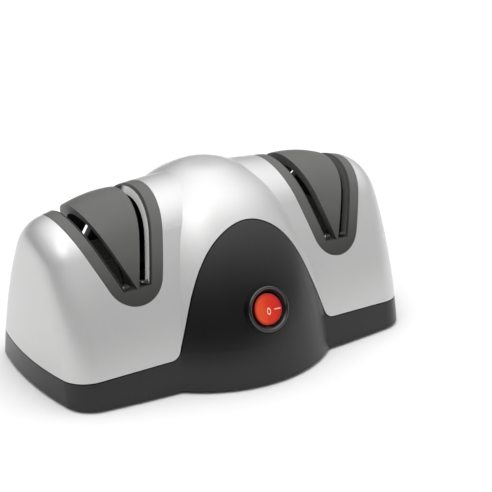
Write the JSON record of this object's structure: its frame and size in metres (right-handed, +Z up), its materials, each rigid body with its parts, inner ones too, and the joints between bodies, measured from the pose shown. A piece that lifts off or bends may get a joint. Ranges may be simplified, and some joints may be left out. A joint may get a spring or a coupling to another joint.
{
  "type": "knife sharpener",
  "caption": "Electric knife sharpener: domed motor body with a slotted wing each side, arched front panel and round rocker switch.",
  "frame": {"origin": "middle of the footprint on the surface it stands on", "axes": "+X along the length to the user's right, -Y towards the user and the switch, +Z up"},
  "size_m": [0.204, 0.135, 0.0975],
  "materials": {
    "silver_paint": "satin silver metallic paint on plastic",
    "charcoal_plastic": "satin dark grey moulding",
    "insert_plastic": "satin grey moulding",
    "black_plastic": "satin black moulding",
    "red_rocker": "translucent red-orange, polished",
    "spring_steel": "bright spring steel",
    "ground_steel": "ground",
    "zinc_steel": "zinc plated",
    "lamination_steel": "varnished laminations",
    "copper_winding": "enamelled copper wire",
    "brass_metal": "plain",
    "die_cast": "die cast",
    "abrasive": "bonded abrasive grit",
    "white_nylon": "moulded nylon",
    "black_rubber": "moulded rubber"
  },
  "bodies": {
    "housing": {"base_tray": "charcoal_plastic", "coil_cheeks": "white_nylon", "cord_inlet": "black_rubber", "cover_screws": "zinc_steel", "cover_shell": "silver_paint", "foot_1": "black_rubber", "foot_2": "black_rubber", "foot_3": "black_rubber", "foot_4": "black_rubber", "left_bracket": "die_cast", "left_bush": "brass_metal", "left_guide_block": "insert_plastic", "left_insert": "insert_plastic", "motor_coil": "copper_winding", "motor_core": "lamination_steel", "motor_studs": "zinc_steel", "right_bracket": "die_cast", "right_bush": "brass_metal", "right_guide_block": "insert_plastic", "right_insert": "insert_plastic", "switch_housing": "black_plastic", "switch_terminals": "brass_metal"},
    "drive": {"shaft": "ground_steel", "motor_rotor": "lamination_steel", "cooling_fan": "black_plastic", "left_collar": "black_plastic", "left_inner_wheel": "abrasive", "left_nut": "zinc_steel", "left_outer_wheel": "abrasive", "left_spacer": "black_plastic", "right_collar": "black_plastic", "right_inner_wheel": "abrasive", "right_nut": "zinc_steel", "right_outer_wheel": "abrasive", "right_spacer": "black_plastic"},
    "rocker": {"switch_rocker": "red_rocker"},
    "left_inner_strip": {"left_inner_strip": "spring_steel"},
    "left_outer_strip": {"left_outer_strip": "spring_steel"},
    "right_inner_strip": {"right_inner_strip": "spring_steel"},
    "right_outer_strip": {"right_outer_strip": "spring_steel"}
  },
  "joints": [
    {"name": "drive_spin", "type": "hinge", "parent": "housing", "child": "drive", "pos_m": [0, 0, 0.0425], "axis": [1, 0, 0], "continuous": true},
    {"name": "switch_rock", "type": "hinge", "parent": "housing", "child": "rocker", "pos_m": [0, -0.05787, 0.03697], "axis": [0, 0.3303, 0.9439], "range_deg": [0, 20]},
    {"name": "left_inner_strip_give", "type": "slide", "parent": "housing", "child": "left_inner_strip", "axis": [0.9636, 0, -0.2672], "range_m": [0, 0.0005], "stiffness_N_per_m": 800},
    {"name": "left_outer_strip_give", "type": "slide", "parent": "housing", "child": "left_outer_strip", "axis": [-0.91, 0, -0.4147], "range_m": [0, 0.0005], "stiffness_N_per_m": 800},
    {"name": "right_inner_strip_give", "type": "slide", "parent": "housing", "child": "right_inner_strip", "axis": [-0.9636, 0, -0.2672], "range_m": [0, 0.0005], "stiffness_N_per_m": 800},
    {"name": "right_outer_strip_give", "type": "slide", "parent": "housing", "child": "right_outer_strip", "axis": [0.91, 0, -0.4147], "range_m": [0, 0.0005], "stiffness_N_per_m": 800}
  ]
}
